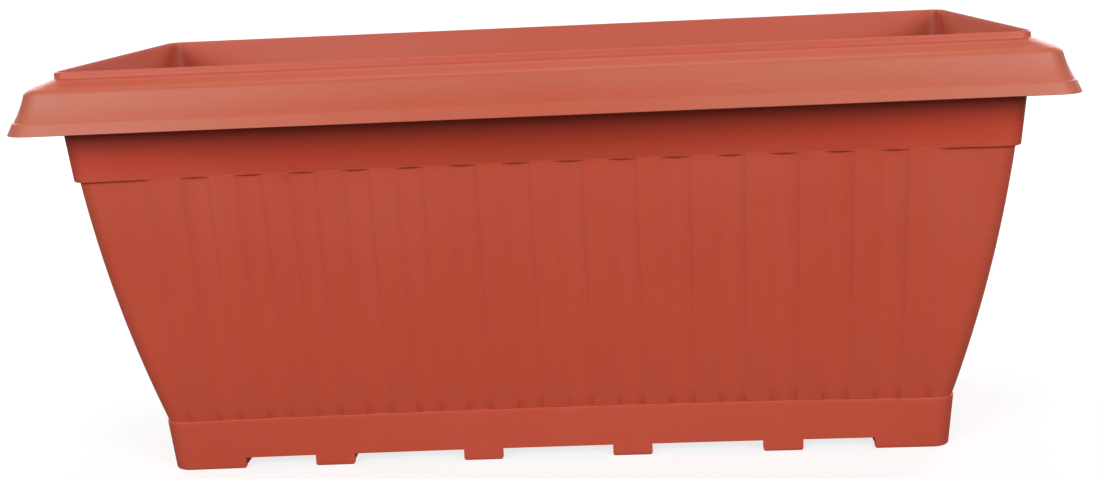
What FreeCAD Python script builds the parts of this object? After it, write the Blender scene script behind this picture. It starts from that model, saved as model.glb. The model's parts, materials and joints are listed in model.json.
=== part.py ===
import FreeCAD, Part
import math
import os
from FreeCAD import Vector

os.makedirs("parts", exist_ok=True)

# Window box planter, in millimetres. Z is up, X runs along the box, and the origin
# is the middle of its footprint on the ground. The front and the back are alike.

# overall: the lower edge of the skirt is the widest outline, and insets are
# measured inwards from it, alike on the long and the short sides
rim_length = 800.0
rim_width = 370.0
height = 338.0
wall = 2.6

# rim: a raised lip, a sloping ledge, a rounded shoulder and an outward sloping skirt
rim_drop = 44.4
lip_height = 5.1
lip_inset = 31.7
lip_thickness = 3.0
lip_round = 1.3
shoulder_drop = 12.3
shoulder_inset = 13.3
shoulder_radius = 6.0
skirt_corner = 21.0
lip_corner = 11.4
band_height = 9.2
band_proud = 0.8
band_step = 0.5
skirt_edge = 0.8
round_steps = 2

# stiffening webs hidden in the channel under the rim
web_thickness = 2.0
web_rise = 10.0
web_spacing = 124.0
web_end_gap = 110.0

# walls: a plain collar over fluted walls that curve in to a plinth
collar_drop = 86.0
collar_top_inset = 32.3
collar_bottom_inset = 35.5
collar_step = 2.3
body_taper = 38.7
body_bulge = 4.0
wall_corner = 14.6
body_levels = 4
joint_overlap = 1.0

# ribs: flat lands, nearly flush with the collar, between round flutes that fade to the plinth
rib_pitch = 41.3
flute_width = 23.0
flank_width = 8.0
rib_flush = 0.2
rib_fade = 0.1
rib_margin = 0.5

# the long walls draw in a little at mid length
collar_bow = 15.0
plinth_bow = 8.0
foot_bow = 3.0

# plinth and feet
plinth_height = 43.0
plinth_proud = 0.8
plinth_edge = 0.3
plinth_draft = 3.0
foot_height = 9.5
foot_edge = 1.5
foot_chamfer = 2.0
corner_foot_length = 62.0
corner_foot_width = 50.0
small_foot = 32.5
small_feet_long = 4
end_gap_share = 0.64

# floor, with runners under it that join the front feet to the back feet, and a keel
floor_underside = 12.0
floor_thickness = 3.5
floor_chamfer = 3.0
runner_thickness = 2.5

# posts moulded on the floor carry the drainage grids
post_height = 24.5
post_base = 18.0
post_tip = 14.0
post_wall = 2.2
post_from_seam = 25.0
post_from_end = 27.3
post_from_side = 24.3
nub_size = 6.0
nub_height = 3.5
nub_clearance = 0.4

# drain holes and their plugs
drain_radius = 8.0
drain_from_posts = 18.0
plug_clearance = 0.08
plug_flange = 4.0
plug_flange_thickness = 2.0
plug_reach = 2.0
flange_sides = 8
grip_width = 14.0
grip_height = 9.0
grip_thickness = 2.6
grip_draft = 1.5

# drainage grids, one left and one right, meeting at mid length
grid_thickness = 2.5
grid_edge_depth = 8.5
grid_edge_wall = 2.0
grid_rib_depth = 6.0
grid_rib = 2.0
grid_gap = 2.0
grid_seam = 1.0
grid_corner = 10.0
slot_length = 50.0
slot_width = 8.0
slot_web = 9.0
slot_rim = 1.0
grid_margin = 10.0
finger_length = 78.0
finger_width = 24.0
finger_corner = 8.0

# cutting shapes run past the face they cut by this much
past = 1.0

# places worked out from the sizes above
half_length = rim_length / 2
half_width = rim_width / 2
skirt_bottom = height - rim_drop
collar_bottom = height - collar_drop
body_top_inset = collar_bottom_inset + collar_step
body_foot_inset = body_top_inset + body_taper
plinth_inset = body_foot_inset - plinth_proud
floor_top = floor_underside + floor_thickness
post_top = floor_top + post_height
grid_top = post_top + grid_thickness
long_flat = half_length - body_foot_inset - wall_corner
short_flat = half_width - body_foot_inset - wall_corner
land_half = (rib_pitch - flute_width) / 2
ribs_long = 2 * int((long_flat - land_half - rib_margin) / rib_pitch) + 1
ribs_short = 2 * int((short_flat - land_half - rib_margin) / rib_pitch) + 1


def blend(a, b, share):
    return a + (b - a) * share


def bow_at(z):
    """How far the long walls draw in at mid length, at one height."""
    if z >= collar_bottom:
        return blend(collar_bow, 0.0, (z - collar_bottom) / collar_drop)
    if z >= plinth_height:
        return blend(plinth_bow, collar_bow, (z - plinth_height) / (collar_bottom - plinth_height))
    return blend(foot_bow, plinth_bow, z / plinth_height)


def body_inset(z):
    """The curved taper of the wall, at the bottom of its flutes."""
    down = (collar_bottom - z) / (collar_bottom - plinth_height)
    return body_top_inset + body_taper * down - 4 * body_bulge * down * (1 - down)


def rib_crest(z):
    """How far the lands between the flutes stand out, which is less near the plinth."""
    up = (z - plinth_height) / (collar_bottom - plinth_height)
    return (collar_step - rib_flush) * (1 - (1 - rib_fade) * max(0.0, 1 - up) ** 3)


def side_edges(flat, count, crest, bow):
    """One side of a ring as (start, middle, end) points, each (along, out of the side)."""
    if count == 0:
        return [((-flat, 0.0), (0.0, -bow), (flat, 0.0))]

    def point(s, out):
        return (s, out - bow * (1 - (s / flat) ** 2))

    last = (count - 1) / 2 * rib_pitch + land_half
    foot = min(last + flank_width, flat - rib_margin)
    edges = [((-flat, 0.0), None, point(-foot, 0.0)), (point(-foot, 0.0), None, point(-last, crest))]
    for k in range(count):
        centre = (k - (count - 1) / 2) * rib_pitch
        land_end = point(centre + land_half, crest)
        edges.append((point(centre - land_half, crest), None, land_end))
        if k < count - 1:
            middle = centre + rib_pitch / 2
            edges.append((land_end, point(middle, 0.0), point(middle + flute_width / 2, crest)))
    edges.append((point(last, crest), None, point(foot, 0.0)))
    edges.append((point(foot, 0.0), None, (flat, 0.0)))
    return edges


def ring(z, inset, corner, bow=0.0, crest=0.0):
    """A closed rounded outline at one height. With a crest its sides carry lands and flutes."""
    reach = (half_length - inset, half_width - inset)
    counts = (ribs_short, ribs_long) if crest else (0, 0)
    edges = []
    for side in range(4):
        turn = math.pi / 2 * side
        out = Vector(math.cos(turn), math.sin(turn), 0)
        along = Vector(-math.sin(turn), math.cos(turn), 0)
        far = reach[side % 2]
        flat = reach[1 - side % 2] - corner
        drawn_in = bow if side % 2 else 0.0
        for points in side_edges(flat, counts[side % 2], crest, drawn_in):
            placed = [out * (far + p[1]) + along * p[0] + Vector(0, 0, z) for p in points if p]
            if len(placed) == 3 and points[1][1] != points[0][1]:
                edges.append(Part.Arc(*placed).toShape())
            else:
                edges.append(Part.LineSegment(placed[0], placed[-1]).toShape())
        centre = out * (far - corner) + along * flat + Vector(0, 0, z)
        middle = centre + (out + along) * (corner / math.sqrt(2))
        edges.append(Part.Arc(centre + out * corner, middle, centre + along * corner).toShape())
    return Part.Wire(edges)


def loft(rings):
    """A solid through outlines at rising heights, with straight walls between them."""
    return Part.makeLoft(rings, True, True)


def box(x0, y0, z0, x1, y1, z1):
    return Part.makeBox(x1 - x0, y1 - y0, z1 - z0, Vector(x0, y0, z0))


def both_sides(values):
    return [sign * value for value in values for sign in (-1, 1)]


def rim_corner(inset):
    return blend(skirt_corner, lip_corner, inset / lip_inset)


def rim_shell():
    """Skirt, shoulder, ledge and lip, with the channel under them and its webs."""
    slope = shoulder_inset / (rim_drop - shoulder_drop)
    corner = (shoulder_inset, height - shoulder_drop)
    band_top = band_height + band_step
    skirt_start = (slope * band_top + band_proud, skirt_bottom + band_top)
    ledge_end = (lip_inset, height - lip_height)

    def direction(a, b):
        length = math.hypot(b[0] - a[0], b[1] - a[1])
        return ((b[0] - a[0]) / length, (b[1] - a[1]) / length)

    up = direction(skirt_start, corner)
    across = direction(corner, ledge_end)
    angle_up = math.atan2(-up[0], up[1])
    angle_across = math.atan2(-across[0], across[1])
    back = shoulder_radius * math.tan((angle_up - angle_across) / 2)
    centre = (corner[0] - up[0] * back + up[1] * shoulder_radius,
              corner[1] - up[1] * back - up[0] * shoulder_radius)

    outline = [(skirt_edge, skirt_bottom),
               (slope * skirt_edge, skirt_bottom + skirt_edge),
               (slope * band_height, skirt_bottom + band_height),
               skirt_start]
    for k in range(round_steps + 1):
        angle = blend(angle_up, angle_across, k / round_steps)
        outline.append((centre[0] - shoulder_radius * math.cos(angle),
                        centre[1] - shoulder_radius * math.sin(angle)))
    outline.append(ledge_end)
    for k in range(round_steps + 1):
        angle = math.pi / 2 * k / round_steps
        outline.append((lip_inset + lip_round * (1 - math.cos(angle)),
                        height - lip_round * (1 - math.sin(angle))))
    solid = loft([ring(z, inset, rim_corner(inset)) for inset, z in outline])

    # the channel: the skirt and the ledge moved inwards by the wall thickness
    up = direction((0.0, skirt_bottom), corner)
    inwards = (up[1] + across[1], -up[0] - across[0])
    share = wall / (1 + up[0] * across[0] + up[1] * across[1])
    hollow = (corner[0] + inwards[0] * share, corner[1] + inwards[1] * share)
    mouth = (hollow[0] - slope * (hollow[1] - skirt_bottom), skirt_bottom)
    below = (mouth[0], skirt_bottom - past)
    end_inset = lip_inset + wall / 2
    end = (end_inset, hollow[1] + (end_inset - hollow[0]) * across[1] / across[0])
    void = loft([ring(z, inset, rim_corner(inset) - wall / 2)
                 for inset, z in (below, mouth, hollow, end)])
    webs = []
    web_bottom = skirt_bottom + web_rise
    web_count = 2 * int((half_length - lip_inset - wall_corner) / web_spacing) + 1
    for k in range(web_count):
        x = (k - (web_count - 1) / 2) * web_spacing
        webs.append(box(x - web_thickness / 2, -half_width, web_bottom,
                        x + web_thickness / 2, half_width, height))
    for y in both_sides([web_end_gap / 2]):
        webs.append(box(-half_length, y - web_thickness / 2, web_bottom,
                        half_length, y + web_thickness / 2, height))
    return solid.cut(void.cut(Part.makeCompound(webs))), end[1]


def wall_rings(low, high, thickness=0.0, ribbed=False):
    """Rings of the curved wall, or of the same wall moved inwards by a thickness."""
    bow_slope = (collar_bow - plinth_bow) / (collar_bottom - plinth_height)
    rings = []
    for k in range(body_levels):
        z = blend(low, high, k / (body_levels - 1))
        bow = plinth_bow + bow_slope * (z - plinth_height)
        crest = rib_crest(z) if ribbed else 0.0
        rings.append(ring(z, body_inset(z) + thickness, wall_corner - thickness, bow, crest))
    return rings


def wall_solids(ledge_underside):
    """The outsides of the collar, the fluted body and the plinth, as filled solids."""
    collar_top = ledge_underside + joint_overlap
    collar = loft([ring(collar_bottom, collar_bottom_inset, wall_corner, collar_bow),
                   ring(skirt_bottom, collar_top_inset, wall_corner, bow_at(skirt_bottom)),
                   ring(collar_top, lip_inset, wall_corner, bow_at(collar_top))])
    body = loft(wall_rings(plinth_height, collar_bottom, ribbed=True))
    foot_inset = plinth_inset + plinth_draft
    plinth = loft([ring(0.0, foot_inset + foot_edge, wall_corner - foot_edge, foot_bow),
                   ring(foot_edge, foot_inset, wall_corner, foot_bow),
                   ring(plinth_height - plinth_edge, plinth_inset, wall_corner, plinth_bow),
                   ring(plinth_height, plinth_inset + plinth_edge, wall_corner, plinth_bow)])
    return [collar, body, plinth]


def plinth_inner(z):
    """The inset of the plinth's inner face. It stands just inside the curved wall's."""
    return plinth_inset + wall + joint_overlap + plinth_draft * (1 - z / plinth_height)


def cavity_solids():
    """What the soil and the drainage space take up."""
    corner = wall_corner - wall
    plinth = loft([ring(z, plinth_inner(z) + extra, corner, bow_at(z))
                   for z, extra in ((floor_top, floor_chamfer),
                                    (floor_top + floor_chamfer, 0.0),
                                    (plinth_height, 0.0))])
    body = loft(wall_rings(plinth_height - joint_overlap / 2, collar_bottom + joint_overlap, wall))
    step = collar_bottom + joint_overlap / 2
    lip_foot = height - lip_height
    lip_inner = lip_inset + lip_thickness
    rings = [ring(step, collar_bottom_inset + wall, corner, bow_at(step)),
             ring(skirt_bottom, collar_top_inset + wall, corner, bow_at(skirt_bottom)),
             ring(lip_foot, lip_inner, corner, bow_at(lip_foot))]
    for k in range(round_steps + 1):
        angle = math.pi / 2 * k / round_steps
        rings.append(ring(height - lip_round * (1 - math.sin(angle)),
                          lip_inner - lip_round * (1 - math.cos(angle)), corner))
    rings.append(ring(height + joint_overlap, lip_inner - lip_round, corner))
    return [plinth, body, loft(rings)]


def foot_spans():
    """The gaps between the feet on a long side, from left to right."""
    inner = half_length - plinth_inset - plinth_draft - corner_foot_length
    gaps = small_feet_long - 1 + 2 * end_gap_share
    gap = (2 * inner - small_feet_long * small_foot) / gaps
    spans = []
    start = -inner
    end = start + end_gap_share * gap
    for _ in range(small_feet_long):
        spans.append((start, end))
        start = end + small_foot
        end = start + gap
    return spans + [(start, inner)]


def gap_prism(start, end, along_x, low, high):
    """The gap between two feet, whose lower corners are chamfered."""
    flare = foot_chamfer + past
    points = [(start - flare, -past), (start, foot_chamfer), (start, foot_height),
              (end, foot_height), (end, foot_chamfer), (end + flare, -past)]
    corners = [Vector(low, s, z) if along_x else Vector(s, low, z) for s, z in points]
    run = Vector(high - low, 0, 0) if along_x else Vector(0, high - low, 0)
    return Part.Face(Part.makePolygon(corners + corners[:1])).extrude(run)


def foot_gaps():
    prisms = [gap_prism(a, b, False, -half_width, half_width) for a, b in foot_spans()]
    end_reach = half_width - plinth_inset - plinth_draft
    end_inner = end_reach - corner_foot_width
    wall_start = half_length - plinth_inset - plinth_draft - 2 * wall
    for side in (-1, 1):
        low, high = sorted((side * wall_start, side * half_length))
        prisms.append(gap_prism(-end_inner, -small_foot / 2, True, low, high))
        prisms.append(gap_prism(small_foot / 2, end_inner, True, low, high))
    return prisms


def underside():
    """The space under the floor, less the runners between the feet and the keel."""
    inset = plinth_inset + plinth_draft + wall
    corner = wall_corner - wall
    space = loft([ring(-past, inset + foot_edge, corner, foot_bow),
                  ring(0.0, inset + foot_edge, corner, foot_bow),
                  ring(floor_underside, inset, corner, bow_at(floor_underside))])
    runners = [end + foot_chamfer for start, end in foot_spans()]
    runners += [start - foot_chamfer - runner_thickness for start, end in foot_spans()]
    solids = [box(x, -half_width, -2 * past, x + runner_thickness, half_width, height) for x in runners]
    keel = runner_thickness / 2
    solids.append(box(-half_length, -keel, foot_height, half_length, keel, height))
    return space.cut(Part.makeCompound(solids))


def grid_reach():
    """Where the right grid ends along the box, and its half width."""
    inset = plinth_inner(grid_top - grid_edge_depth) + grid_gap
    return half_length - inset, half_width - inset - bow_at(plinth_height)


def post_columns():
    last = grid_reach()[0] - post_from_end
    return post_from_seam, (post_from_seam + last) / 2, last


def post_row():
    return grid_reach()[1] - post_from_side


def post_places():
    return [(x, y) for x in both_sides(post_columns()) for y in both_sides([post_row()])]


def drain_places():
    column = sum(foot_spans()[-1]) / 2
    row = post_row() - drain_from_posts
    return [(x, y) for y in (-row, row) for x in (-column, 0.0, column)]


def rectangle(x, y, z, length, width):
    corners = [Vector(x + a * length / 2, y + b * width / 2, z)
               for a, b in ((-1, -1), (1, -1), (1, 1), (-1, 1))]
    return Part.makePolygon(corners + corners[:1])


def square_post(x, y, low, high, size_low, size_high):
    foot = size_low / 2
    tip = size_high / 2
    post = Part.makeWedge(-foot, low, -foot, -tip, -tip, foot, high, foot, tip, tip)
    post.rotate(Vector(0, 0, 0), Vector(1, 0, 0), 90)
    post.translate(Vector(x, y, 0))
    return post


def planter_box():
    rim, ledge_underside = rim_shell()
    solid = rim.multiFuse(wall_solids(ledge_underside))
    for space in cavity_solids():
        solid = solid.cut(space)
    solid = solid.cut(underside())
    posts = []
    cores = []
    for x, y in post_places():
        posts.append(square_post(x, y, floor_top - joint_overlap, post_top, post_base, post_tip))
        posts.append(square_post(x, y, post_top - joint_overlap, post_top + nub_height, nub_size, nub_size))
        cores.append(square_post(x, y, foot_height, post_top - post_wall,
                                 post_base - 2 * post_wall, post_tip - 2 * post_wall))
    solid = solid.multiFuse(posts)
    for x, y in drain_places():
        cores.append(Part.makeCylinder(drain_radius, floor_top, Vector(x, y, foot_height)))
    solid = solid.cut(Part.makeCompound(cores + foot_gaps()))
    return solid.removeSplitter()


def drain_plug(x, y):
    """A push-in plug: a stem in the drain hole, a flange on the floor and a pull grip."""
    stem = drain_radius - plug_clearance
    bottom = floor_underside - plug_reach
    body = Part.makeCylinder(stem, floor_top - bottom, Vector(x, y, bottom))
    flange = (drain_radius + plug_flange) / math.cos(math.pi / flange_sides)
    corners = [Vector(x + flange * math.cos(angle), y + flange * math.sin(angle), floor_top)
               for angle in [math.pi * (2 * k + 1) / flange_sides for k in range(flange_sides + 1)]]
    disc = Part.Face(Part.makePolygon(corners)).extrude(Vector(0, 0, plug_flange_thickness))
    low = floor_top + plug_flange_thickness / 2
    high = floor_top + plug_flange_thickness + grip_height
    tip = grip_width / 2 - grip_draft
    outline = [Vector(x + across, y - grip_thickness / 2, z)
               for across, z in ((-grip_width / 2, low), (grip_width / 2, low), (tip, high), (-tip, high))]
    grip = Part.Face(Part.makePolygon(outline + outline[:1])).extrude(Vector(0, grip_thickness, 0))
    return body.multiFuse([disc, grip]).removeSplitter()


def rounded_end(solid, x, radius):
    """Rounds the two upright corners of a plate at one end."""
    nearly = 1e-6
    edges = [edge for edge in solid.Edges
             if all(abs(vertex.X - x) < nearly for vertex in edge.Vertexes)
             and abs(edge.Vertexes[0].Y - edge.Vertexes[-1].Y) < nearly]
    return solid.makeFillet(radius, edges)


def drainage_grid(side):
    """One slotted false floor on the posts, with a turned-down edge and ribs beneath."""
    low = grid_top - grid_edge_depth
    x0 = grid_seam / 2
    x1, half = grid_reach()
    edge = grid_edge_wall
    outer = rounded_end(box(x0, -half, low, x1, half, grid_top), x1, grid_corner)
    inner = rounded_end(box(x0 + edge, edge - half, low - past, x1 - edge, half - edge, post_top),
                        x1 - edge, grid_corner - edge)

    span_x = x1 - x0 - 2 * grid_margin
    span_y = 2 * (half - grid_margin)
    columns = int((span_x + slot_web) / (slot_length + slot_web))
    rows = int((span_y + slot_web) / (slot_width + slot_web))
    pitch_x = (span_x + slot_web) / columns
    pitch_y = (span_y + slot_web) / rows
    ribs = []
    rib_low = post_top - grid_rib_depth
    for k in (columns // 3, columns - columns // 3):
        x = x0 + grid_margin + k * pitch_x - slot_web / 2
        ribs.append(box(x - grid_rib / 2, edge / 2 - half, rib_low,
                        x + grid_rib / 2, half - edge / 2, post_top))
    for k in (rows // 3, rows - rows // 3):
        y = -half + grid_margin + k * pitch_y - slot_web / 2
        ribs.append(box(x0 + edge / 2, y - grid_rib / 2, rib_low,
                        x1 - edge / 2, y + grid_rib / 2, post_top))

    middle = (x0 + x1) / 2
    posts = [(x, y) for x in post_columns() for y in both_sides([post_row()])]
    keep_clear = [(middle, 0.0, finger_length, finger_width)]
    keep_clear += [(x, y, post_tip, post_tip) for x, y in posts]
    holes = []
    for i in range(columns):
        for j in range(rows):
            x = x0 + grid_margin + i * pitch_x + (pitch_x - slot_web) / 2
            y = -half + grid_margin + j * pitch_y + (pitch_y - slot_web) / 2
            free = all(abs(x - cx) > (pitch_x - slot_web + length) / 2 + slot_rim
                       or abs(y - cy) > (pitch_y - slot_web + width) / 2 + slot_rim
                       for cx, cy, length, width in keep_clear)
            if free:
                holes.append(loft([rectangle(x, y, z, pitch_x - slot_web, pitch_y - slot_web)
                                   for z in (post_top - past, grid_top + past)]))
    finger = box(middle - finger_length / 2, -finger_width / 2, low - past,
                 middle + finger_length / 2, finger_width / 2, grid_top + past)
    for x in (middle - finger_length / 2, middle + finger_length / 2):
        finger = rounded_end(finger, x, finger_corner)
    holes.append(finger)
    size = nub_size + 2 * nub_clearance
    for x, y in posts:
        holes.append(square_post(x, y, post_top - past, grid_top + past, size, size))
    solid = outer.cut(inner).multiFuse(ribs).cut(Part.makeCompound(holes)).removeSplitter()
    if side < 0:
        solid.rotate(Vector(0, 0, 0), Vector(0, 0, 1), 180)
    return solid


def save(shape, node):
    solids = shape.Solids
    print(node, "solids", len(solids), "valid", shape.isValid(), "volume", round(shape.Volume),
          "faces", len(shape.Faces))
    solid = solids[0] if len(solids) == 1 else shape
    solid.exportStep("parts/" + node + ".step")


save(planter_box(), "planter_box")
save(drainage_grid(-1), "drainage_grid_left")
save(drainage_grid(1), "drainage_grid_right")
for place, name in zip(drain_places(), ("front_left", "front_middle", "front_right",
                                        "back_left", "back_middle", "back_right")):
    save(drain_plug(*place), "drain_plug_" + name)
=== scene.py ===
import json
import math

import bmesh
import bpy
from mathutils import Matrix, Vector

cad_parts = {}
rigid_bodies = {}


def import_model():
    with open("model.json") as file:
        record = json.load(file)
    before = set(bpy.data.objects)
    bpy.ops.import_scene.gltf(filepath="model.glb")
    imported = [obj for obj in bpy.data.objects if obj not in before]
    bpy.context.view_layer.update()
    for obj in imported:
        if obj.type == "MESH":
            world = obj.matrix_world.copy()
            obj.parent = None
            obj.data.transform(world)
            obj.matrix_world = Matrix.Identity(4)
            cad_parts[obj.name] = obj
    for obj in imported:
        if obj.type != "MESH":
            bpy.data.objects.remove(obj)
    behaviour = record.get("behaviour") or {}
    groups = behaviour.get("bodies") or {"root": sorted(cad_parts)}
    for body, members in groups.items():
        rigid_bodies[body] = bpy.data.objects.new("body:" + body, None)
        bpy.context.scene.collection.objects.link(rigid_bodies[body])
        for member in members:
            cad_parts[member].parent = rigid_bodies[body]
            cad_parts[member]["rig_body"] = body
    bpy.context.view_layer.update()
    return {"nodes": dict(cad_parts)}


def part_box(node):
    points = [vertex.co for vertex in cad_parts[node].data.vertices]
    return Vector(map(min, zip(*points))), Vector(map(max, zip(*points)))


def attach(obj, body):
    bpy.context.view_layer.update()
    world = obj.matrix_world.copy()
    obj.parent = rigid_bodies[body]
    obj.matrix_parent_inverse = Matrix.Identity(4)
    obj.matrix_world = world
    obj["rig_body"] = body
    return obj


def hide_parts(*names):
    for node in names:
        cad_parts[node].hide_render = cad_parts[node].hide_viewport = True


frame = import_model()
bpy.context.scene.view_settings.view_transform = "Standard"
mm = 0.001  # the dictionaries below hold millimetres


def mix(a, b, share):
    return a + (b - a) * share


def newPiece(name, bm, body, finish):
    # turns a bmesh into a named piece that rides on a body
    mesh = bpy.data.meshes.new(name)
    bm.to_mesh(mesh)
    bm.free()
    piece = bpy.data.objects.new(name, mesh)
    bpy.context.scene.collection.objects.link(piece)
    mesh.materials.append(finish)
    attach(piece, body)
    return piece


def smoothShade(piece, sharpAngle):
    piece.data.shade_smooth()
    piece.data.set_sharp_from_angle(angle=math.radians(sharpAngle))


def addBlock(bm, low, high):
    # a closed block between two corners, in millimetres
    size = [(b - a) * mm for a, b in zip(low, high)]
    middle = [(a + b) / 2 for a, b in zip(low, high)]
    place = Matrix.Translation(Vector(middle) * mm) @ Matrix.Diagonal((*size, 1))
    return bmesh.ops.create_cube(bm, size=1, matrix=place)["verts"]


def cutOrJoin(piece, tool, operation):
    # one boolean, applied at once; the tool's mesh is thrown away
    mesh = bpy.data.meshes.new("tool")
    bmesh.ops.recalc_face_normals(tool, faces=tool.faces)
    tool.to_mesh(mesh)
    tool.free()
    other = bpy.data.objects.new("tool", mesh)
    bpy.context.scene.collection.objects.link(other)
    step = piece.modifiers.new("step", "BOOLEAN")
    step.operation = operation
    step.solver = "MANIFOLD"
    step.object = other
    bpy.context.view_layer.update()
    graph = bpy.context.evaluated_depsgraph_get()
    result = bpy.data.meshes.new_from_object(piece.evaluated_get(graph))
    piece.modifiers.clear()
    old = piece.data
    piece.data = result
    bpy.data.meshes.remove(old)
    bpy.data.objects.remove(other)
    bpy.data.meshes.remove(mesh)


class Value:
    # a shader output that can be used in plain sums
    def __init__(self, finish, socket):
        self.finish = finish
        self.socket = socket

    def maths(self, operation, first, second):
        return self.finish.node("ShaderNodeMath", {"operation": operation}, {0: first, 1: second})

    def __add__(self, other):
        return self.maths("ADD", self, other)

    def __radd__(self, other):
        return self.maths("ADD", other, self)

    def __sub__(self, other):
        return self.maths("SUBTRACT", self, other)

    def __rsub__(self, other):
        return self.maths("SUBTRACT", other, self)

    def __mul__(self, other):
        return self.maths("MULTIPLY", self, other)

    def __rmul__(self, other):
        return self.maths("MULTIPLY", other, self)

    def __abs__(self):
        return self.maths("ABSOLUTE", self, 0.0)

    def orMore(self, other):
        return self.maths("MAXIMUM", self, other)


class Finish:
    # a material whose nodes are added one call at a time
    def __init__(self, name, **constants):
        self.material = bpy.data.materials.new(name)
        self.material.use_nodes = True
        self.tree = self.material.node_tree
        self.shader = self.tree.nodes["Principled BSDF"]
        for socket, value in constants.items():
            self.shader.inputs[socket.replace("_", " ")].default_value = value
        self.place = self.node("ShaderNodeTexCoord", {}, {}, "Object")

    def node(self, kind, settings, inputs, output=0):
        made = self.tree.nodes.new(kind)
        for key, value in settings.items():
            setattr(made, key, value)
        for key, value in inputs.items():
            self.feed(made.inputs[key], value)
        return Value(self, made.outputs[output])

    def feed(self, socket, value):
        if isinstance(value, Value):
            self.tree.links.new(value.socket, socket)
        else:
            socket.default_value = value

    def noise(self, scale, detail=2.0, stretch=(1, 1, 1), rough=0.5):
        # a fractal pattern in metres, which can be stretched along the axes
        place = self.node("ShaderNodeMapping", {}, {"Vector": self.place, "Scale": stretch})
        return self.node("ShaderNodeTexNoise", {"noise_dimensions": "3D"},
                         {"Vector": place, "Scale": scale, "Detail": detail, "Roughness": rough})

    def pattern(self, between, **settings):
        # the same, drawn apart so that it runs from 0 to 1 between two of its levels
        return self.span(self.noise(**settings), *between)

    def span(self, value, low, high):
        # 0 below the low value and 1 above the high one, with a soft passage
        return self.node("ShaderNodeMapRange", {"interpolation_type": "SMOOTHSTEP"},
                         {"Value": value, "From Min": low, "From Max": high})

    def colours(self, share, first, second):
        settings = {"data_type": "RGBA", "clamp_factor": True}
        return self.node("ShaderNodeMix", settings, {0: share, 6: first, 7: second}, 2)

    def along(self, axis):
        return self.node("ShaderNodeSeparateXYZ", {}, {0: self.place}, axis)

    def bump(self, value, strength, distance):
        normal = self.node("ShaderNodeBump", {}, {"Strength": strength, "Distance": distance,
                                                  "Height": value})
        self.feed(self.shader.inputs["Normal"], normal)


def srgb(red, green, blue):
    # a colour as it is seen, turned into the shader's linear numbers
    def linear(c):
        c = c / 255
        return c / 12.92 if c <= 0.04045 else ((c + 0.055) / 1.055) ** 2.4
    return (linear(red), linear(green), linear(blue), 1.0)


terracotta = {
    "plain": srgb(195, 75, 51),
    "light": srgb(199, 83, 59),
    # the rim's own colour, and the pale colour it goes towards, which is painted sheen with a random blush
    "rim": srgb(192, 83, 56),
    "faded": srgb(197, 116, 92),
    # painted highlight for the lip
    "lip": srgb(206, 106, 80),
    # painted shade for the ledge
    "ledge": srgb(197, 74, 34),
    # painted shade for the collar under the rim
    "collar": srgb(193, 62, 38),
    # painted light for the lower wall
    "low": srgb(206, 82, 57),
    "dust": srgb(222, 160, 138),
    # heights and places in metres, as the shader reads them
    "plinthTo": 0.043,
    "collarFrom": 0.24,
    "collarTo": 0.27,
    "rimFrom": 0.2925,
    "rimTo": 0.2945,
    "bandTop": 0.3033,
    "shoulder": 0.325,
    "ledgeFrom": 0.323,
    "ledgeTo": 0.329,
    "lipFrom": 0.3335,
    "palestAt": 0.4,
    "lengthOverWidth": 0.215,
    "outsideFrom": 0.158,
    "outsideTo": 0.162,
    # how far each place goes towards its own colour; all shares but the blush share are painted light and
    # painted shade
    "lowShare": 0.9,
    "plinthLess": 0.5,
    "collarShare": 0.9,
    "insideShare": 0.4,
    "ledgeShare": 0.85,
    "endsPale": 0.52,
    "endsLessAbove": 0.2,
    "abovePale": 0.26,
    "bandPale": 0.17,
    "blushPale": 0.2,
    # patterns in the plastic and its wear
    "cloud": {"scale": 5.5, "detail": 3.0, "stretch": (1, 1, 1.6), "between": (0.35, 0.68)},
    "streak": {"scale": 16.0, "detail": 3.0, "stretch": (1, 1, 0.12), "between": (0.35, 0.7)},
    "blush": {"scale": 7.0, "detail": 4.0, "stretch": (0.6, 1, 1.4), "rough": 0.6, "between": (0.38, 0.66)},
    "fleck": {"scale": 900.0, "between": (0.42, 0.75)},
    "scratch": {"scale": 60.0, "detail": 5.0, "stretch": (0.12, 0.12, 3.0), "rough": 0.7,
                "between": (0.63, 0.74)},
    "fineGrain": 1400.0,
    "coarseGrain": 220.0,
    "grainBump": 0.1,
    "grainDepth": 0.0003,
    "roughness": 0.44,
}


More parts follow.
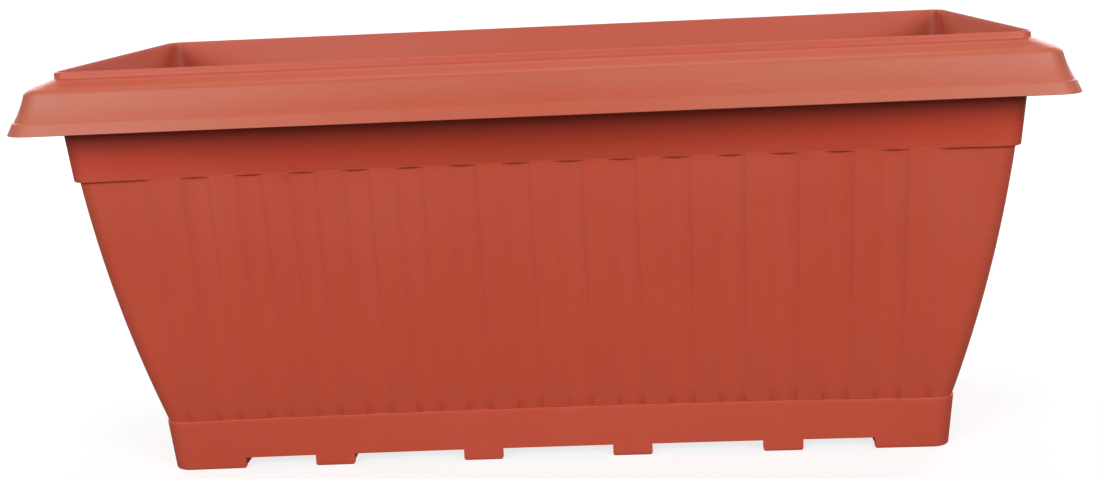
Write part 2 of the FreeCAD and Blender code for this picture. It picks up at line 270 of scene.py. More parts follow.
def makeTerracotta(sizes):
    paint = Finish("terracottaPlastic", IOR=1.45)
    z = paint.along("Z")
    cloud, streak, blush, fleck, scratch = [paint.pattern(**sizes[name]) for name in
                                            ("cloud", "streak", "blush", "fleck", "scratch")]
    fromMiddle = abs(paint.along("X"))
    across = (fromMiddle - sizes["lengthOverWidth"]).orMore(abs(paint.along("Y")))
    outside = paint.span(across, sizes["outsideFrom"], sizes["outsideTo"])
    height = paint.span(z, sizes["rimFrom"], sizes["rimTo"])
    rim = height * outside

    wall = paint.colours(cloud * 0.5 + streak * 0.4, sizes["plain"], sizes["light"])
    # painted light: the lower wall is painted lighter towards the bottom, and less so on the plinth
    plinth = 1 - paint.span(z, sizes["plinthTo"] - 0.001, sizes["plinthTo"])
    low = 1 - paint.span(z, sizes["plinthTo"], sizes["collarFrom"])
    wall = paint.colours(low * sizes["lowShare"] - plinth * sizes["plinthLess"], wall, sizes["low"])
    # painted shade: the collar under the rim is painted deeper
    collar = paint.span(z, sizes["collarFrom"], sizes["collarTo"])
    wall = paint.colours(collar * sizes["collarShare"], wall, sizes["collar"])
    # painted light: the inside of the walls near the top is painted paler, where the light falls on it over
    # the rim
    wall = paint.colours(height * (1 - outside) * sizes["insideShare"], wall, sizes["faded"])

    ends = fromMiddle * (1 / sizes["palestAt"])  # painted sheen: the rim is painted paler towards its ends
    # painted sheen: the band and the upper skirt are painted paler; the blush is a random tone in the plastic
    band = 1 - paint.span(z, sizes["bandTop"] - 0.0004, sizes["bandTop"] + 0.0004)
    above = paint.span(z, sizes["bandTop"], sizes["shoulder"])
    pale = (ends * (sizes["endsPale"] - above * sizes["endsLessAbove"]) + above * sizes["abovePale"]
            + band * sizes["bandPale"] + (blush - 0.5) * sizes["blushPale"])
    top = paint.colours(pale, sizes["rim"], sizes["faded"])
    # painted shade: the ledge is painted deeper and redder
    ledge = paint.span(z, sizes["ledgeFrom"], sizes["ledgeTo"])
    top = paint.colours(ledge * sizes["ledgeShare"], top, sizes["ledge"])
    # painted highlight: the lip is painted lighter
    lip = paint.span(z, sizes["lipFrom"], sizes["lipFrom"] + 0.001)
    top = paint.colours(lip, top, sizes["lip"])

    colour = paint.colours(rim, wall, top)
    colour = paint.colours(scratch * rim * 0.2 + fleck * 0.05, colour, sizes["dust"])
    paint.feed(paint.shader.inputs["Base Color"], colour)
    paint.feed(paint.shader.inputs["Roughness"], sizes["roughness"] + cloud * 0.05 + fleck * 0.04)
    grain = paint.noise(sizes["fineGrain"]) * 0.6 + paint.noise(sizes["coarseGrain"]) * 0.4
    paint.bump(grain, sizes["grainBump"], sizes["grainDepth"])
    return paint.material


darkPlastics = {
    "gridPlastic": {"dark": srgb(38, 36, 35), "pale": srgb(66, 62, 59), "grain": 900.0},
    "plugPlastic": {"dark": srgb(28, 28, 29), "pale": srgb(50, 50, 51), "grain": 1300.0},
}


def makeDarkPlastic(name, dark, pale, grain):
    # moulded plastic with soil dust on it
    paint = Finish(name)
    dust = paint.pattern((0.4, 0.72), scale=14.0, detail=4.0, rough=0.6)
    fleck = paint.pattern((0.45, 0.7), scale=grain)
    paint.feed(paint.shader.inputs["Base Color"], paint.colours(dust * 0.5 + fleck * 0.15, dark, pale))
    paint.feed(paint.shader.inputs["Roughness"], 0.48 + dust * 0.14)
    paint.bump(paint.noise(grain), 0.12, 0.0003)
    return paint.material


terracottaFinish = makeTerracotta(terracotta)
gridFinish, plugFinish = [makeDarkPlastic(name, **colours) for name, colours in darkPlastics.items()]
print("finishes made")


low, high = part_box("planter_box")
box = {
    "halfLength": round(high.x / mm),
    "halfWidth": round(high.y / mm),
    "height": round(high.z / mm),
    "wall": 2.6,
    # rim
    "rimDrop": 44.4,
    "lipHeight": 5.1,
    "lipInset": 31.7,
    "lipThickness": 3.0,
    "lipRound": 1.35,
    "lipFillet": 1.6,
    "shoulderDrop": 12.3,
    "shoulderInset": 13.3,
    "shoulderRadius": 6.5,
    "skirtHollow": 0.7,
    "skirtCorner": 21.0,
    "lipCorner": 11.4,
    "bandHeight": 9.2,
    "bandStep": 0.6,
    "bandProud": 0.8,
    "bandEdge": ((0.4, 0.2), (0.1, 0.0), (-0.2, -0.5)),  # inset and height from its top corner
    "skirtEdge": 0.8,
    "channelRound": 1.2,
    "channelMouth": 0.35,
    "channelEnd": ((-1.0, -0.4), (0.0, -1.6)),  # the same, from where the channel meets the collar
    # collar and fluted body
    "collarDrop": 86.0,
    "collarTopInset": 32.3,
    "collarInset": 35.5,
    "collarStep": 3.2,
    "collarRound": 0.8,
    "bodyTaper": 37.8,
    "bodyBulge": 4.0,
    "wallCorner": 14.6,
    "landPitch": 41.3,
    "fluteHalf": 11.5,
    "flankWidth": 12.0,
    "landsLong": 15,
    "landsShort": 5,
    "landFlush": 0.1,
    "fluteFade": 0.1,
    # how far the long walls draw in at mid length
    "collarBow": 15.0,
    "plinthBow": 8.0,
    "footBow": 3.0,
    # plinth and floor
    "plinthHeight": 43.0,
    "plinthProud": 0.8,
    "plinthDraft": 3.0,
    "plinthRound": 0.8,
    "plinthStep": 1.0,
    "footEdge": 1.5,
    "floorUnder": 12.0,
    "floorTop": 15.5,
    "floorFillet": 3.0,
    "insideStep": 0.5,
    "insideCrease": 0.6,
}
box["skirtBottom"] = box["height"] - box["rimDrop"]
box["collarBottom"] = box["height"] - box["collarDrop"]
box["bodyTopInset"] = box["collarInset"] + box["collarStep"]
box["plinthInset"] = box["bodyTopInset"] + box["bodyTaper"] - box["plinthProud"]
box["innerCorner"] = box["wallCorner"] - box["wall"]
flatShares = (0.08, 0.5, 0.92)  # rings near the ends of a flat stretch keep its shading flat


def bowAt(z):
    # how far the long walls draw in at mid length
    if z >= box["collarBottom"]:
        return mix(box["collarBow"], 0, (z - box["collarBottom"]) / box["collarDrop"])
    if z >= box["plinthHeight"]:
        share = (z - box["plinthHeight"]) / (box["collarBottom"] - box["plinthHeight"])
        return mix(box["plinthBow"], box["collarBow"], share)
    return mix(box["footBow"], box["plinthBow"], z / box["plinthHeight"])


def bodyInset(z):
    down = (box["collarBottom"] - z) / (box["collarBottom"] - box["plinthHeight"])
    return box["bodyTopInset"] + box["bodyTaper"] * down - 4 * box["bodyBulge"] * down * (1 - down)


def landHeight(z):
    # how far the lands stand out of the flutes: flush with the collar, fading to the plinth
    up = (z - box["plinthHeight"]) / (box["collarBottom"] - box["plinthHeight"])
    full = box["collarStep"] - box["landFlush"]
    return full * (1 - (1 - box["fluteFade"]) * max(0, 1 - up) ** 3)


def rimCorner(inset):
    return mix(box["skirtCorner"], box["lipCorner"], inset / box["lipInset"])


def plinthInner(z):
    sloping = box["plinthDraft"] * (1 - z / box["plinthHeight"])
    return box["plinthInset"] + box["wall"] + box["plinthStep"] + sloping


def lastLandEdge(count):
    return count / 2 * box["landPitch"] - box["fluteHalf"]


def relief(along, count, flankEnd):
    # 1 on the lands, less in the flutes between them, 0 on the plain ends of a side
    u = abs(along)
    lastLand = lastLandEdge(count)
    if u >= lastLand:
        share = min(1, (u - lastLand) / (flankEnd - lastLand))
        return (1 + math.cos(math.pi * share)) / 2
    phase = (u / box["landPitch"] + (count - 1) / 2) % 1 * box["landPitch"]
    fromFlute = abs(phase - box["landPitch"] / 2)
    return min(1, fromFlute / box["fluteHalf"]) ** 2


def sideStations(count):
    # places along a side: fixed ones over lands and flutes, then shares of what is left of it
    lastLand = lastLandEdge(count)
    landHalf = box["landPitch"] / 2 - box["fluteHalf"]
    edge = 0.9  # a second line beside each land's edge keeps the land flat
    fixed = []
    for k in range(count):
        centre = (k - (count - 1) / 2) * box["landPitch"]
        fixed += [centre - landHalf + edge, centre, centre + landHalf - edge]
        if k < count - 1:
            middle = centre + box["landPitch"] / 2
            shares = (0.3, 0.58, 0.8, 0.94, 1.0)
            fixed += [middle - box["fluteHalf"] * s for s in reversed(shares)] + [middle]
            fixed += [middle + box["fluteHalf"] * s for s in shares]
    flank = [s / 4 for s in range(5)]
    ends = [0.35, 0.7, 1.0]
    return ([("end", -s) for s in reversed(ends)] + [("flank", -s) for s in reversed(flank)]
            + [("at", u) for u in fixed] + [("flank", s) for s in flank]
            + [("end", s) for s in ends])


def allStations():
    # every vertex of a ring knows its side and its place along it
    cornerSteps = 8
    stations = []
    for side in range(4):
        count = box["landsLong"] if side % 2 else box["landsShort"]
        stations += [(side, count, kind, value) for kind, value in sideStations(count)]
        stations += [(side, count, "corner", k / cornerSteps) for k in range(1, cornerSteps)]
    return stations


def placeRing(verts, layer, stations, level):
    # moves the vertices of one ring to the outline of that level
    z, inset, corner, bow, land = level
    for vert in verts:
        side, count, kind, value = stations[vert[layer]]
        turn = math.pi / 2 * side
        out = Vector((math.cos(turn), math.sin(turn)))
        along = Vector((-math.sin(turn), math.cos(turn)))
        far = (box["halfLength"], box["halfWidth"])[side % 2] - inset
        flat = (box["halfWidth"], box["halfLength"])[side % 2] - inset - corner
        if kind == "corner":
            angle = math.pi / 2 * value
            spot = (out * (far - corner + corner * math.cos(angle))
                    + along * (flat + corner * math.sin(angle)))
        else:
            lastLand = lastLandEdge(count)
            flankEnd = min(lastLand + box["flankWidth"], mix(lastLand, flat, 0.8))
            u = value
            if kind == "end":
                u = math.copysign(mix(flankEnd, flat, abs(value)), value)
            elif kind == "flank":
                u = math.copysign(mix(lastLand, flankEnd, abs(value)), value)
            drawnIn = bow * (1 - (u / flat) ** 2) if side % 2 else 0
            spot = out * (far - drawnIn + land * relief(u, count, flankEnd)) + along * u
        vert.co = Vector((spot.x, spot.y, z)) * mm


def level(inset, z, corner, bow=None, land=0.0):
    return (z, inset, corner, bowAt(z) if bow is None else bow, land)


def quarter(insetFrom, zFrom, insetTo, zTo, steps, upFirst=True):
    # a quarter round between two points of the section, which leaves the first along z or sideways
    points = []
    for k in range(steps + 1):
        angle = math.pi / 2 * k / steps
        a, b = 1 - math.cos(angle), math.sin(angle)
        if not upFirst:
            a, b = b, a
        points.append((mix(insetFrom, insetTo, a), mix(zFrom, zTo, b)))
    return points


def straight(start, end, shares=flatShares):
    return [(mix(start[0], end[0], s), mix(start[1], end[1], s)) for s in shares]


def insideLevels():
    # floor, plinth, body and collar as seen from inside
    corner, crease = box["innerCorner"], box["insideCrease"]
    foot, fillet = box["floorTop"], box["floorFillet"]
    start = plinthInner(foot) + fillet
    levels = [level(start + share * fillet, foot, corner) for share in (1.0, 0.15)]
    for inset, z in quarter(start, foot, plinthInner(foot + fillet), foot + fillet, 4, upFirst=False):
        levels.append(level(inset, z, corner))
    top = (plinthInner(box["plinthHeight"]), box["plinthHeight"] - crease)
    for inset, z in straight((plinthInner(foot + fillet), foot + fillet), top):
        levels.append(level(inset, z, corner))
    bodySteps = 10
    for k in range(bodySteps + 1):
        z = mix(box["plinthHeight"], box["collarBottom"] - crease, k / bodySteps)
        levels.append(level(bodyInset(z) + box["wall"], z, corner))
    step = box["collarBottom"] + box["insideStep"]
    collar = box["collarInset"] + box["wall"]
    levels.append(level(bodyInset(step) + box["wall"] - box["insideStep"], step, corner, box["collarBow"]))
    levels.append(level(collar + 0.4, step, corner, box["collarBow"]))
    levels.append(level(collar, step + crease, corner))
    bottom = (box["collarTopInset"] + box["wall"], box["skirtBottom"])
    lip = (box["lipInset"] + box["lipThickness"], box["height"] - box["lipHeight"])
    rising = straight((collar, step + crease), bottom) + straight(bottom, lip, (0.1, 0.5, 1.0))
    for inset, z in rising:
        levels.append(level(inset, z, corner))
    return levels


def lipLevels():
    # the raised lip: over its top and down to the ledge
    top, radius, fillet = box["height"], box["lipRound"], box["lipFillet"]
    outer, inner = box["lipInset"], box["lipInset"] + box["lipThickness"]
    levels = [level(inset, z, box["innerCorner"], 0)
              for inset, z in quarter(inner, top - radius, inner - radius, top, 5)]
    levels += [level(inset, z, rimCorner(inset), 0)
               for inset, z in quarter(outer + radius, top, outer, top - radius, 5, upFirst=False)]
    ledge, fall = ledgeLine()
    levels += [level(inset, z, rimCorner(inset), 0)
               for inset, z in quarter(outer, ledge[1] + fillet, outer - fillet,
                                       ledge[1] - fillet * fall, 4)]
    return levels


def ledgeLine():
    # where the ledge meets the lip, and how steeply it falls outwards
    ledge = (box["lipInset"], box["height"] - box["lipHeight"])
    fall = (box["shoulderDrop"] - box["lipHeight"]) / (box["lipInset"] - box["shoulderInset"])
    return ledge, fall


def skirtSlope():
    return box["shoulderInset"] / (box["rimDrop"] - box["shoulderDrop"])


def skirtLevels():
    # ledge, rounded shoulder, slightly hollow skirt and the proud band along its foot
    ledge, fall = ledgeLine()
    corner = (box["shoulderInset"], box["height"] - box["shoulderDrop"])
    slope, bottom, fillet = skirtSlope(), box["skirtBottom"], box["lipFillet"]
    bandTop = box["bandHeight"] + box["bandStep"]
    start = (slope * bandTop + box["bandProud"], bottom + bandTop)
    up = Vector((corner[0] - start[0], corner[1] - start[1])).normalized()
    across = Vector((ledge[0] - corner[0], ledge[1] - corner[1])).normalized()
    angleUp = math.atan2(-up.x, up.y)
    angleAcross = math.atan2(-across.x, across.y)
    radius = box["shoulderRadius"]
    back = radius * math.tan((angleUp - angleAcross) / 2)
    centre = (corner[0] - up.x * back + up.y * radius, corner[1] - up.y * back - up.x * radius)
    arcSteps = 7
    arc = []
    for k in range(arcSteps + 1):
        angle = mix(angleAcross, angleUp, k / arcSteps)
        arc.append((centre[0] - radius * math.cos(angle), centre[1] - radius * math.sin(angle)))
    points = straight((ledge[0] - fillet, ledge[1] - fillet * fall), arc[0]) + arc
    for share in (0.06, 0.2, 0.35, 0.5, 0.65, 0.8, 0.94):
        hollow = 4 * box["skirtHollow"] * share * (1 - share)
        points.append((mix(arc[-1][0], start[0], share) + hollow, mix(arc[-1][1], start[1], share)))
    points += [start, (start[0] - 0.12, start[1] - 0.25)]
    top = (slope * box["bandHeight"], bottom + box["bandHeight"])
    points += [(top[0] + inset, top[1] + z) for inset, z in box["bandEdge"]]
    foot = (slope * box["skirtEdge"], bottom + box["skirtEdge"])
    points += straight(points[-1], foot) + [foot]
    points += [(foot[0] - 0.05, bottom + 0.4), (0.6, bottom + 0.08), (1.0, bottom)]
    return [level(inset, z, rimCorner(inset), 0) for inset, z in points]


def channelLine():
    # the inner corner of the channel under the rim, and its mouth
    slope, bottom = skirtSlope(), box["skirtBottom"]
    corner = (box["shoulderInset"], box["height"] - box["shoulderDrop"])
    ledge = ledgeLine()[0]
    up = Vector((corner[0], corner[1] - bottom)).normalized()
    across = Vector((ledge[0] - corner[0], ledge[1] - corner[1])).normalized()
    share = box["wall"] / (1 + up.x * across.x + up.y * across.y)
    hollow = (corner[0] + (up.y + across.y) * share, corner[1] - (up.x + across.x) * share)
    return hollow, (hollow[0] - slope * (hollow[1] - bottom), bottom), across.y / across.x


def channelLevels():
    # the hollow side of skirt and ledge, up to the collar
    slope, radius = skirtSlope(), box["channelRound"]
    hollow, mouth, rise = channelLine()
    thinner, edge = box["wall"] / 2, box["channelMouth"]
    points = [(mouth[0] - edge, mouth[1]), (mouth[0], mouth[1] + edge)]
    points += straight(mouth, hollow, (0.1, 0.5, 0.85))
    points += [(hollow[0] - radius * slope, hollow[1] - radius),
               (hollow[0] + radius, hollow[1] + radius * rise)]
    levels = [level(inset, z, rimCorner(inset) - thinner, 0) for inset, z in points]
    end = box["collarTopInset"] - edge
    endHeight = hollow[1] + (end - hollow[0]) * rise
    levels.append(level(mix(hollow[0], end, 0.5), mix(hollow[1], endHeight, 0.5), box["wallCorner"], 0))
    levels += [level(end + inset, endHeight + z, box["wallCorner"]) for inset, z in box["channelEnd"]]
    levels.append(level(mix(end, box["collarTopInset"], 0.5), mix(endHeight, box["skirtBottom"], 0.5),
                        box["wallCorner"]))
    return levels


def wallLevels():
    # collar with its rounded lower edge, then the fluted body down to the plinth
    corner, radius, inset = box["wallCorner"], box["collarRound"], box["collarInset"]
    edge = box["collarBottom"] + radius
    top = (box["collarTopInset"], box["skirtBottom"])
    levels = [level(i, z, corner) for i, z in straight(top, (inset, edge), (0.0, 0.3, 0.6, 0.85, 0.97))]
    for i, z in quarter(inset, edge, inset + radius, box["collarBottom"], 5):
        share = (i - inset) / box["collarStep"]
        levels.append(level(i, z, corner, box["collarBow"], share * landHeight(box["collarBottom"])))
    steps = 16
    for k in range(steps + 1):
        z = mix(box["collarBottom"] - 0.02, box["plinthHeight"] + 0.3, k / steps)
        levels.append(level(bodyInset(z), z, corner, None, landHeight(z)))
    return levels


def plinthLevels():
    # plinth, its lower edge and the space under the floor
    corner, radius, face = box["wallCorner"], box["plinthRound"], box["plinthInset"]
    top = box["plinthHeight"]
    levels = [level(i, z, corner, box["plinthBow"])
              for i, z in quarter(face + radius, top, face, top - radius, 4, upFirst=False)]
    foot, edge = face + box["plinthDraft"], box["footEdge"]
    levels += [level(i, z, corner) for i, z in straight((face, top - radius), (foot, edge))]
    levels += [level(i, z, corner - (i - foot), box["footBow"])
               for i, z in quarter(foot, edge, foot + edge, 0, 4)]
    inner, ceiling = foot + box["wall"], box["floorUnder"]
    for i, z in ((inner + edge, 0), (inner + edge - 0.4, 0.4), (inner, ceiling - 1), (inner + 1, ceiling),
                 (inner + 4, ceiling)):
        levels.append(level(i, z, box["innerCorner"], box["footBow"]))
    return levels


def buildMoulding():
    # one ring is drawn out along the section of the wall, from the floor inside to the floor's underside
    stations = allStations()
    levels = (insideLevels() + lipLevels() + skirtLevels() + channelLevels() + wallLevels()
              + plinthLevels())
    bm = bmesh.new()
    layer = bm.verts.layers.int.new("station")
    ring = bmesh.ops.create_circle(bm, segments=len(stations), radius=1)["verts"]
    for index, vert in enumerate(ring):
        vert[layer] = index
    placeRing(ring, layer, stations, levels[0])
    edges = list(bm.edges)
    bmesh.ops.edgeloop_fill(bm, edges=edges)
    for nextLevel in levels[1:]:
        grown = bmesh.ops.extrude_edge_only(bm, edges=edges)["geom"]
        ring = [item for item in grown if isinstance(item, bmesh.types.BMVert)]
        edges = [item for item in grown if isinstance(item, bmesh.types.BMEdge)]
        placeRing(ring, layer, stations, nextLevel)
    bmesh.ops.edgeloop_fill(bm, edges=edges)
    bmesh.ops.recalc_face_normals(bm, faces=bm.faces)
    print("moulding has", len(levels), "rings of", len(stations))
    return bm


under = {
    "cornerFootLength": 62.0,
    "cornerFootWidth": 50.0,
    "smallFoot": 32.5,
    "smallFeet": 4,
    "endGapShare": 0.64,
    "footHeight": 9.5,
    "footRound": 2.6,
    "runner": 2.5,
    "runnerInset": 2.0,
    "postHeight": 24.5,
    "postBase": 18.0,
    "postTip": 14.0,
    "postWall": 2.2,
    "postRound": 1.2,
    "nubSize": 6.0,
    "nubHeight": 3.5,
    "nubRound": 0.6,
    "postFromSeam": 25.0,
    "postFromEnd": 27.3,
    "postFromSide": 24.3,
    "gridSkirtFoot": 34.0,
    "gridGap": 2.0,
    "drainFromPosts": 18.0,
    "drainRadius": 8.0,
    "drainSides": 64,
    "cutPast": 2.0,
    "webThickness": 2.0,
    "webRise": 10.0,
    "webSpacing": 124.0,
    "webEndGap": 110.0,
    "sunk": 1.0,  # how deep an added rib or post starts inside the wall that carries it
}
footReach = box["halfLength"] - box["plinthInset"] - box["plinthDraft"]
footSide = box["halfWidth"] - box["plinthInset"] - box["plinthDraft"]


def footSpans():
    # the gaps between the feet of a long side, from left to right
    inner = footReach - under["cornerFootLength"]
    foot, count = under["smallFoot"], under["smallFeet"]
    gap = (2 * inner - count * foot) / (count - 1 + 2 * under["endGapShare"])
    spans = []
    start, end = -inner, -inner + under["endGapShare"] * gap
    for _ in range(count):
        spans.append((start, end))
        start = end + foot
        end = start + gap
    return spans + [(start, inner)]


def addGap(bm, start, end, alongX, near, far):
    # a prism that cuts the gap between two feet and rounds their lower corners
    radius = under["footRound"]
    side = [(radius + 1, -1), (radius, -0.01)]
    side += [(radius * (1 - math.sin(a)), radius * (1 - math.cos(a))) for a in (0.4, 0.8, 1.2)]
    side += [(0, radius), (0, under["footHeight"])]
    outline = [(start - out, z) for out, z in side] + [(end + out, z) for out, z in reversed(side)]
    verts = [bm.verts.new(Vector((near, s, z) if alongX else (s, near, z)) * mm) for s, z in outline]
    face = bm.faces.new(verts)
    grown = bmesh.ops.extrude_face_region(bm, geom=[face])["geom"]
    move = Vector((far - near, 0, 0)) if alongX else Vector((0, far - near, 0))
    moved = [item for item in grown if isinstance(item, bmesh.types.BMVert)]
    bmesh.ops.translate(bm, verts=moved, vec=move * mm)


def addPost(bm, place, bottom, top, base, tip, rounding=0):
    # a square post that narrows upwards
    x, y = place
    verts = addBlock(bm, (x - base / 2, y - base / 2, bottom), (x + base / 2, y + base / 2, top))
    upper = [v for v in verts if v.co.z > (bottom + top) / 2 * mm]
    middle = Matrix.Translation(Vector((-x, -y, 0)) * mm)
    bmesh.ops.scale(bm, verts=upper, vec=(tip / base, tip / base, 1), space=middle)
    if rounding:
        edges = {e for v in upper for e in v.link_edges}
        bmesh.ops.bevel(bm, geom=list(edges), offset=rounding * mm, segments=3, profile=0.5,
                        affect="EDGES", material=-1)


def gridReach():
    inset = plinthInner(under["gridSkirtFoot"]) + under["gridGap"]
    return box["halfLength"] - inset, box["halfWidth"] - inset - box["plinthBow"]


def postPlaces():
    end, side = gridReach()
    first, last = under["postFromSeam"], end - under["postFromEnd"]
    row = side - under["postFromSide"]
    columns = (first, (first + last) / 2, last)
    return [(sx * x, sy * row) for x in columns for sx in (-1, 1) for sy in (-1, 1)]


def drainPlaces():
    column = sum(footSpans()[-1]) / 2
    row = gridReach()[1] - under["postFromSide"] - under["drainFromPosts"]
    return [(x, y) for y in (-row, row) for x in (-column, 0, column)]


def collarMiddle(z, x):
    # the middle of the wall's thickness behind the rim, at a place along a long side
    top = box["height"] - box["lipHeight"]
    inset = mix(box["collarTopInset"], box["lipInset"], (z - box["skirtBottom"]) / (top - box["skirtBottom"]))
    flat = box["halfLength"] - inset - box["wallCorner"]
    return inset + bowAt(z) * (1 - (x / flat) ** 2) + box["wall"] / 2


def addWeb(bm, place, alongX):
    # a stiffening web across the channel under the rim, on both sides of the box
    half, sunk = under["webThickness"] / 2, under["sunk"]
    reach = box["halfLength"] if alongX else box["halfWidth"]
    foot = box["skirtBottom"] + under["webRise"]
    hollow, mouth, rise = channelLine()
    inner = box["lipInset"]
    innerHeight = hollow[1] + (inner - hollow[0]) * rise + sunk
    collar = box["collarTopInset"] + box["wall"] / 2 if alongX else collarMiddle(foot, place)
    corners = {
        (0, 0): (collar, foot),
        (1, 0): (mouth[0] + skirtSlope() * under["webRise"] - sunk, foot),
        (0, 1): (inner + sunk, innerHeight),
        (1, 1): (hollow[0] - sunk, hollow[1] + sunk / 2),
    }
    for sign in (-1, 1):
        for v in addBlock(bm, (-1, -1, -1), (1, 1, 1)):
            inset, z = corners[(int(v.co.y > 0), int(v.co.z > 0))]
            side = place + (half if v.co.x > 0 else -half)
            out = sign * (reach - inset)
            v.co = Vector((out, side, z) if alongX else (side, out, z)) * mm


def addRunners(bm):
    # runners that join the front feet to the back feet under the floor
    inset, thick = under["runnerInset"], under["runner"]
    starts = [end + inset for start, end in footSpans()]
    starts += [start - inset - thick for start, end in footSpans()]
    wallMiddle = box["wall"] / 2 + box["footEdge"]
    for x in starts:
        drawnIn = box["footBow"] * (1 - (x / (footReach - box["wallCorner"])) ** 2)
        end = footSide - wallMiddle - max(0, drawnIn)
        addBlock(bm, (x, -end, 0), (x + thick, end, box["floorUnder"] + under["sunk"] / 2))


def addKeel(bm):
    half = under["runner"] / 2
    end = footReach - box["wall"] / 2 - box["footEdge"]
    addBlock(bm, (-end, -half, under["footHeight"]), (end, half, box["floorUnder"] + under["sunk"]))


def buildBox():
    piece = newPiece("mouldedBox", buildMoulding(), "box", terracottaFinish)
    postTop = box["floorTop"] + under["postHeight"]
    sunk = under["sunk"]
    first, second, cut = bmesh.new(), bmesh.new(), bmesh.new()
    addRunners(first)
    for place in postPlaces():
        addPost(first, place, box["floorTop"] - sunk, postTop, under["postBase"], under["postTip"],
                under["postRound"])
        addPost(second, place, postTop - sunk, postTop + under["nubHeight"], under["nubSize"],
                under["nubSize"], under["nubRound"])
    webs = int((box["halfLength"] - box["lipInset"] - box["wallCorner"]) / under["webSpacing"])
    for k in range(-webs, webs + 1):
        addWeb(first, k * under["webSpacing"], False)
    for y in (-under["webEndGap"] / 2, under["webEndGap"] / 2):
        addWeb(first, y, True)
    addKeel(second)
    cutOrJoin(piece, first, "UNION")
    cutOrJoin(piece, second, "UNION")
    print("posts, runners and webs joined")

    for start, end in footSpans():
        addGap(cut, start, end, False, -box["halfWidth"], box["halfWidth"])
    endInner = footSide - under["cornerFootWidth"]
    for side in (-1, 1):
        near, far = sorted((side * (footReach - 2 * box["wall"]), side * box["halfLength"]))
        addGap(cut, -endInner, -under["smallFoot"] / 2, True, near, far)
        addGap(cut, under["smallFoot"] / 2, endInner, True, near, far)
    drainBottom, drainTop = box["floorUnder"] - under["cutPast"], box["floorTop"] + under["cutPast"]
    radius = under["drainRadius"] * mm
    for x, y in drainPlaces():
        middle = Matrix.Translation(Vector((x, y, (drainBottom + drainTop) / 2)) * mm)
        bmesh.ops.create_cone(cut, cap_ends=True, segments=under["drainSides"], matrix=middle,
                              radius1=radius, radius2=radius, depth=(drainTop - drainBottom) * mm)
    thinner = 2 * under["postWall"]
    for place in postPlaces():
        addPost(cut, place, under["footHeight"] + 0.3, postTop - under["postWall"],
                under["postBase"] - thinner, under["postTip"] - thinner)
    cutOrJoin(piece, cut, "DIFFERENCE")
    smoothShade(piece, 35)
    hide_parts("planter_box")
    print("moulded box made,", len(piece.data.polygons), "faces")


buildBox()


softEdges = {
    "drainage_grid": {"width": 0.35, "segments": 2, "slot": "grid_plastic", "finish": gridFinish},
    "drain_plug": {"width": 0.45, "segments": 3, "slot": "plug_plastic", "finish": plugFinish},
}


flatWithin = math.radians(1)
sharpFrom = math.radians(30)


def softenNode(name, node, sizes):
    # a copy of a moulded insert, whose sharp edges are rounded as the mould rounds them
    bm = bmesh.new()
    bm.from_mesh(node.data)
    bmesh.ops.remove_doubles(bm, verts=bm.verts, dist=0.01 * mm)
    bmesh.ops.dissolve_limit(bm, angle_limit=flatWithin, verts=bm.verts, edges=bm.edges)
    sharp = [e for e in bm.edges if len(e.link_faces) == 2 and e.calc_face_angle() > sharpFrom]
    bmesh.ops.bevel(bm, geom=sharp, offset=sizes["width"] * mm, segments=sizes["segments"], profile=0.5,
                    affect="EDGES", material=-1, clamp_overlap=True)
    words = name.split("_")
    piece = newPiece(words[0] + "".join(word.capitalize() for word in words[1:]), bm,
                     node["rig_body"], sizes["finish"])
    smoothShade(piece, 35)
    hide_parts(name)


for nodeName, nodeObject in frame["nodes"].items():
    for family, sizes in softEdges.items():
        if nodeName.startswith(family):
            softenNode(nodeName, nodeObject, sizes)
print("grids and plugs finished")


studio = {
    "floorShade": 0.08,  # what the floor throws back on to the object
    "floorGlow": (0.68, 1.0),  # near the object and far from it
    "glowStrength": 1.15,
    "glowFrom": 0.7,
    "glowTo": 1.8,
    "world": 0.08,
    "reflected": 0.1,
    "keyLeft": {"place": (-1.4, -2.0, 1.1), "size": (1.2, 1.05), "energy": 35.5},
    "keyRight": {"place": (1.5, -1.9, 1.1), "size": (1.2, 1.05), "energy": 34.5},
    "above": {"place": (0.0, 0.6, 2.4), "size": (2.2, 1.2), "energy": 22},
    "behindLeft": {"place": (-1.7, 1.9, 1.1), "size": (1.2, 1.0), "energy": 25},
    "behindRight": {"place": (1.7, 1.9, 1.1), "size": (1.2, 1.0), "energy": 25},
}


def makeFloor(sizes):
    # pale to the eye, and darker in the light that it throws back
    bm = bmesh.new()
    bmesh.ops.create_grid(bm, x_segments=1, y_segments=1, size=40)
    mesh = bpy.data.meshes.new("floor")
    bm.to_mesh(mesh)
    bm.free()
    floor = bpy.data.objects.new("floor", mesh)
    bpy.context.scene.collection.objects.link(floor)
    paint = Finish("floorPaint", Roughness=0.9)
    shade = sizes["floorShade"]
    seen = paint.node("ShaderNodeLightPath", {}, {}, "Is Camera Ray")
    reflected = paint.node("ShaderNodeLightPath", {}, {}, "Is Glossy Ray")
    through = paint.node("ShaderNodeLightPath", {}, {}, "Is Transmission Ray")
    colour = paint.colours(seen + through, (shade, shade, shade, 1), (0.9, 0.9, 0.9, 1))
    paint.feed(paint.shader.inputs["Base Color"], colour)
    glow = paint.node("ShaderNodeEmission", {}, {"Color": (1, 1, 1, 1), "Strength": sizes["glowStrength"]})
    near, far = sizes["floorGlow"]
    away = paint.node("ShaderNodeVectorMath", {"operation": "LENGTH"}, {0: paint.place}, 1)
    bright = near + paint.span(away, sizes["glowFrom"], sizes["glowTo"]) * (far - near)
    share = (seen + through) * bright + reflected * sizes["reflected"]
    painted = Value(paint, paint.shader.outputs[0])
    both = paint.node("ShaderNodeMixShader", {}, {0: share, 1: painted, 2: glow})
    paint.feed(paint.tree.nodes["Material Output"].inputs["Surface"], both)
    mesh.materials.append(paint.material)


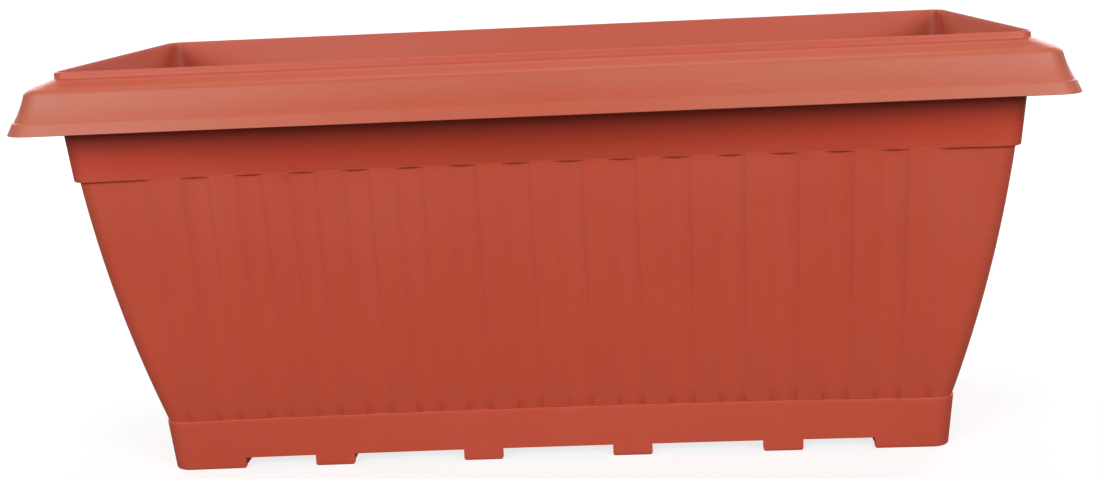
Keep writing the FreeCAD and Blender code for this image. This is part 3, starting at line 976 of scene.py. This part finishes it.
def makeWorld(sizes):
    world = bpy.data.worlds.new("studio")
    world.use_nodes = True
    bpy.context.scene.world = world
    tree = world.node_tree
    ambient = tree.nodes["Background"]
    ambient.inputs["Color"].default_value = (1, 1, 1, 1)
    ambient.inputs["Strength"].default_value = sizes["world"]
    backdrop = tree.nodes.new("ShaderNodeBackground")
    backdrop.inputs["Color"].default_value = (1, 1, 1, 1)
    path = tree.nodes.new("ShaderNodeLightPath")
    glossy = tree.nodes.new("ShaderNodeMath")
    glossy.operation = "MULTIPLY_ADD"
    glossy.inputs[1].default_value = sizes["reflected"]
    tree.links.new(path.outputs["Is Glossy Ray"], glossy.inputs[0])
    tree.links.new(path.outputs["Is Camera Ray"], glossy.inputs[2])
    both = tree.nodes.new("ShaderNodeMixShader")
    tree.links.new(glossy.outputs[0], both.inputs[0])
    tree.links.new(ambient.outputs[0], both.inputs[1])
    tree.links.new(backdrop.outputs[0], both.inputs[2])
    tree.links.new(both.outputs[0], tree.nodes["World Output"].inputs["Surface"])


def addLamp(name, place, size, energy):
    lamp = bpy.data.lights.new(name, "AREA")
    lamp.shape = "RECTANGLE"
    lamp.size, lamp.size_y = size
    lamp.energy = energy
    holder = bpy.data.objects.new(name, lamp)
    bpy.context.scene.collection.objects.link(holder)
    holder.location = place
    aim = Vector((0, 0, 0.2)) - Vector(place)
    holder.rotation_euler = aim.to_track_quat("-Z", "Y").to_euler()


camera = {
    "place": (0.0604, -1.2252, 0.4227),
    "yaw": -0.04077,
    "pitch": -0.19704,
    "roll": -0.04623,
    "focalPixels": 1434.4,
    "centre": (565.3, 221.4),
    "frame": (1100, 479),
}


def makeCamera(view):
    yaw, pitch, roll = view["yaw"], view["pitch"], view["roll"]
    ahead = Vector((math.sin(yaw) * math.cos(pitch), math.cos(yaw) * math.cos(pitch), math.sin(pitch)))
    right = Vector((math.cos(yaw), -math.sin(yaw), 0))
    up = right.cross(ahead)
    rolledRight = right * math.cos(roll) + up * math.sin(roll)
    rolledUp = up * math.cos(roll) - right * math.sin(roll)
    lens = bpy.data.cameras.new("camera")
    width, height = view["frame"]
    lens.sensor_width = 36
    lens.lens = view["focalPixels"] / width * lens.sensor_width
    lens.shift_x = (width / 2 - view["centre"][0]) / width
    lens.shift_y = (view["centre"][1] - height / 2) / width
    holder = bpy.data.objects.new("camera", lens)
    bpy.context.scene.collection.objects.link(holder)
    turn = Matrix((rolledRight, rolledUp, -ahead)).transposed().to_4x4()
    holder.matrix_world = Matrix.Translation(view["place"]) @ turn
    bpy.context.scene.camera = holder


makeFloor(studio)
makeWorld(studio)
for lampName in ("keyLeft", "keyRight", "above", "behindLeft", "behindRight"):
    addLamp(lampName, **studio[lampName])
makeCamera(camera)
print("floor, light and camera made")
